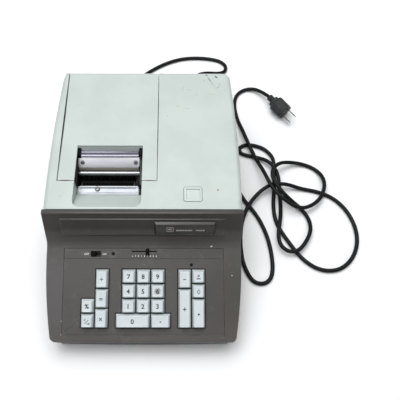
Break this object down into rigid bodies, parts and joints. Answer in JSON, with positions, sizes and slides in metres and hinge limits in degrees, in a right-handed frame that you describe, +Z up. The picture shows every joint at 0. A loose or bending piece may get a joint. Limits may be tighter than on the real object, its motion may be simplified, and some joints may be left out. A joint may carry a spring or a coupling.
{
  "type": "printing calculator",
  "caption": "Desk printing calculator: wedge body with sloped keyboard, sliding switches, drum printer under a hinged lid, and a mains cord with plug.",
  "frame": {"origin": "centre of the body's footprint, on the table", "axes": "+X to the right of the person at the keys, +Y to the rear, +Z up"},
  "size_m": [0.4476, 0.515, 0.1286],
  "materials": {
    "cover_plastic": "satin",
    "bezel_plastic": "matt",
    "fascia_plastic": "matt",
    "strip_plastic": "satin",
    "key_plastic": "satin",
    "button_plastic": "satin",
    "lamp_plastic": "gloss",
    "black_plastic": "matt",
    "plate_plastic": "satin",
    "pan_paint": "satin",
    "foot_rubber": "matt",
    "steel": "satin",
    "bright_steel": "polished",
    "guide_metal": "satin",
    "black_paint": "matt",
    "board_green": "satin",
    "iron": "matt",
    "smoke_plastic": "gloss",
    "gear_plastic": "satin",
    "pinion_brass": "satin",
    "ink_foam": "matt",
    "cord_rubber": "satin",
    "blade_brass": "tarnished"
  },
  "bodies": {
    "housing": {"base_pan": "pan_paint", "feet": "foot_rubber", "case_screws": "steel", "top_cover": "cover_plastic", "front_bezel": "bezel_plastic", "hinge_pins": "steel", "keyboard_fascia": "fascia_plastic", "control_strip": "strip_plastic", "indicator_lamps": "lamp_plastic", "panel_switches": "black_plastic", "key_plate": "black_paint", "key_switches": "black_plastic", "key_springs": "steel", "nameplate_bar": "plate_plastic", "circuit_boards": "board_green", "transformer": "iron", "printer_bed": "steel", "printer_side_frames": "black_paint", "tear_bar": "smoke_plastic", "paper_guide": "guide_metal", "front_guard": "bright_steel", "printer_screws": "steel", "printer_motor": "steel", "hammer_bank": "black_paint", "paper_cradle": "black_plastic", "strain_relief": "black_plastic", "power_cord": "cord_rubber", "plug_body": "black_plastic", "plug_blades": "blade_brass"},
    "lid": {"printer_lid": "cover_plastic"},
    "power_slide": {"power_slider": "black_plastic"},
    "decimal_slide": {"decimal_slider": "black_plastic"},
    "feed_press": {"feed_button": "button_plastic"},
    "roller": {"feed_roller": "bright_steel"},
    "inker": {"ink_roller": "ink_foam"},
    "drum": {"print_drum": "black_plastic", "drum_gear": "gear_plastic"},
    "pinion": {"motor_pinion": "pinion_brass"},
    "spindle": {"paper_spindle": "black_plastic"},
    "key_divide_cap": {"key_divide": "key_plastic"},
    "key_equals_cap": {"key_equals": "key_plastic"},
    "key_multiply_cap": {"key_multiply": "key_plastic"},
    "key_percent_cap": {"key_percent": "key_plastic"},
    "key_clear_cap": {"key_clear": "key_plastic"},
    "key_7_cap": {"key_7": "key_plastic"},
    "key_8_cap": {"key_8": "key_plastic"},
    "key_9_cap": {"key_9": "key_plastic"},
    "key_4_cap": {"key_4": "key_plastic"},
    "key_5_cap": {"key_5": "key_plastic"},
    "key_6_cap": {"key_6": "key_plastic"},
    "key_1_cap": {"key_1": "key_plastic"},
    "key_2_cap": {"key_2": "key_plastic"},
    "key_3_cap": {"key_3": "key_plastic"},
    "key_0_cap": {"key_0": "key_plastic"},
    "key_point_cap": {"key_point": "key_plastic"},
    "key_minus_cap": {"key_minus": "key_plastic"},
    "key_plus_cap": {"key_plus": "key_plastic"},
    "key_subtotal_mark_cap": {"key_subtotal_mark": "key_plastic"},
    "key_diamond_cap": {"key_diamond": "key_plastic"},
    "key_total_cap": {"key_total": "key_plastic"}
  },
  "joints": [
    {"name": "lid_hinge", "type": "hinge", "parent": "housing", "child": "lid", "pos_m": [-0.0474, 0.1795, 0.1223], "axis": [-1, 0, 0], "range_deg": [0, 95]},
    {"name": "power_switch", "type": "slide", "parent": "housing", "child": "power_slide", "axis": [1, 0, 0], "range_m": [0, 0.006]},
    {"name": "decimal_switch", "type": "slide", "parent": "housing", "child": "decimal_slide", "axis": [1, 0, 0], "range_m": [-0.019, 0.0105]},
    {"name": "feed_press", "type": "slide", "parent": "housing", "child": "feed_press", "axis": [0, 0, -1], "range_m": [0, 0.003], "stiffness_N_per_m": 150, "springref_m": -0.003},
    {"name": "roller_spin", "type": "hinge", "parent": "housing", "child": "roller", "pos_m": [-0.0486, 0.027, 0.1055], "axis": [1, 0, 0], "continuous": true},
    {"name": "drum_spin", "type": "hinge", "parent": "housing", "child": "drum", "pos_m": [-0.0486, 0.014, 0.091], "axis": [1, 0, 0], "continuous": true},
    {"name": "pinion_spin", "type": "hinge", "parent": "housing", "child": "pinion", "pos_m": [0.004, 0.014, 0.0718], "axis": [1, 0, 0], "continuous": true},
    {"name": "inker_spin", "type": "hinge", "parent": "housing", "child": "inker", "pos_m": [-0.0486, 0.002, 0.081], "axis": [1, 0, 0], "continuous": true},
    {"name": "spindle_spin", "type": "hinge", "parent": "housing", "child": "spindle", "pos_m": [-0.047, 0.118, 0.08], "axis": [1, 0, 0], "continuous": true},
    {"name": "key_divide_press", "type": "slide", "parent": "housing", "child": "key_divide_cap", "axis": [0, 0.3032, -0.9529], "range_m": [0, 0.0035], "stiffness_N_per_m": 150, "springref_m": -0.003, "deforming": ["key_springs"]},
    {"name": "key_equals_press", "type": "slide", "parent": "housing", "child": "key_equals_cap", "axis": [0, 0.3032, -0.9529], "range_m": [0, 0.0035], "stiffness_N_per_m": 150, "springref_m": -0.003, "deforming": ["key_springs"]},
    {"name": "key_multiply_press", "type": "slide", "parent": "housing", "child": "key_multiply_cap", "axis": [0, 0.3032, -0.9529], "range_m": [0, 0.0035], "stiffness_N_per_m": 150, "springref_m": -0.003, "deforming": ["key_springs"]},
    {"name": "key_percent_press", "type": "slide", "parent": "housing", "child": "key_percent_cap", "axis": [0, 0.3032, -0.9529], "range_m": [0, 0.0035], "stiffness_N_per_m": 150, "springref_m": -0.003, "deforming": ["key_springs"]},
    {"name": "key_clear_press", "type": "slide", "parent": "housing", "child": "key_clear_cap", "axis": [0, 0.3032, -0.9529], "range_m": [0, 0.0035], "stiffness_N_per_m": 150, "springref_m": -0.003, "deforming": ["key_springs"]},
    {"name": "key_7_press", "type": "slide", "parent": "housing", "child": "key_7_cap", "axis": [0, 0.3032, -0.9529], "range_m": [0, 0.0035], "stiffness_N_per_m": 150, "springref_m": -0.003, "deforming": ["key_springs"]},
    {"name": "key_8_press", "type": "slide", "parent": "housing", "child": "key_8_cap", "axis": [0, 0.3032, -0.9529], "range_m": [0, 0.0035], "stiffness_N_per_m": 150, "springref_m": -0.003, "deforming": ["key_springs"]},
    {"name": "key_9_press", "type": "slide", "parent": "housing", "child": "key_9_cap", "axis": [0, 0.3032, -0.9529], "range_m": [0, 0.0035], "stiffness_N_per_m": 150, "springref_m": -0.003, "deforming": ["key_springs"]},
    {"name": "key_4_press", "type": "slide", "parent": "housing", "child": "key_4_cap", "axis": [0, 0.3032, -0.9529], "range_m": [0, 0.0035], "stiffness_N_per_m": 150, "springref_m": -0.003, "deforming": ["key_springs"]},
    {"name": "key_5_press", "type": "slide", "parent": "housing", "child": "key_5_cap", "axis": [0, 0.3032, -0.9529], "range_m": [0, 0.0035], "stiffness_N_per_m": 150, "springref_m": -0.003, "deforming": ["key_springs"]},
    {"name": "key_6_press", "type": "slide", "parent": "housing", "child": "key_6_cap", "axis": [0, 0.3032, -0.9529], "range_m": [0, 0.0035], "stiffness_N_per_m": 150, "springref_m": -0.003, "deforming": ["key_springs"]},
    {"name": "key_1_press", "type": "slide", "parent": "housing", "child": "key_1_cap", "axis": [0, 0.3032, -0.9529], "range_m": [0, 0.0035], "stiffness_N_per_m": 150, "springref_m": -0.003, "deforming": ["key_springs"]},
    {"name": "key_2_press", "type": "slide", "parent": "housing", "child": "key_2_cap", "axis": [0, 0.3032, -0.9529], "range_m": [0, 0.0035], "stiffness_N_per_m": 150, "springref_m": -0.003, "deforming": ["key_springs"]},
    {"name": "key_3_press", "type": "slide", "parent": "housing", "child": "key_3_cap", "axis": [0, 0.3032, -0.9529], "range_m": [0, 0.0035], "stiffness_N_per_m": 150, "springref_m": -0.003, "deforming": ["key_springs"]},
    {"name": "key_0_press", "type": "slide", "parent": "housing", "child": "key_0_cap", "axis": [0, 0.3032, -0.9529], "range_m": [0, 0.0035], "stiffness_N_per_m": 150, "springref_m": -0.003, "deforming": ["key_springs"]},
    {"name": "key_point_press", "type": "slide", "parent": "housing", "child": "key_point_cap", "axis": [0, 0.3032, -0.9529], "range_m": [0, 0.0035], "stiffness_N_per_m": 150, "springref_m": -0.003, "deforming": ["key_springs"]},
    {"name": "key_minus_press", "type": "slide", "parent": "housing", "child": "key_minus_cap", "axis": [0, 0.3032, -0.9529], "range_m": [0, 0.0035], "stiffness_N_per_m": 150, "springref_m": -0.003, "deforming": ["key_springs"]},
    {"name": "key_plus_press", "type": "slide", "parent": "housing", "child": "key_plus_cap", "axis": [0, 0.3032, -0.9529], "range_m": [0, 0.0035], "stiffness_N_per_m": 150, "springref_m": -0.003, "deforming": ["key_springs"]},
    {"name": "key_subtotal_mark_press", "type": "slide", "parent": "housing", "child": "key_subtotal_mark_cap", "axis": [0, 0.3032, -0.9529], "range_m": [0, 0.0035], "stiffness_N_per_m": 150, "springref_m": -0.003, "deforming": ["key_springs"]},
    {"name": "key_diamond_press", "type": "slide", "parent": "housing", "child": "key_diamond_cap", "axis": [0, 0.3032, -0.9529], "range_m": [0, 0.0035], "stiffness_N_per_m": 150, "springref_m": -0.003, "deforming": ["key_springs"]},
    {"name": "key_total_press", "type": "slide", "parent": "housing", "child": "key_total_cap", "axis": [0, 0.3032, -0.9529], "range_m": [0, 0.0035], "stiffness_N_per_m": 150, "springref_m": -0.003, "deforming": ["key_springs"]}
  ],
  "couplings": [
    {"joint": "pinion_spin", "follows": "drum_spin", "ratio": -3},
    {"joint": "inker_spin", "follows": "drum_spin", "ratio": -1.9}
  ]
}
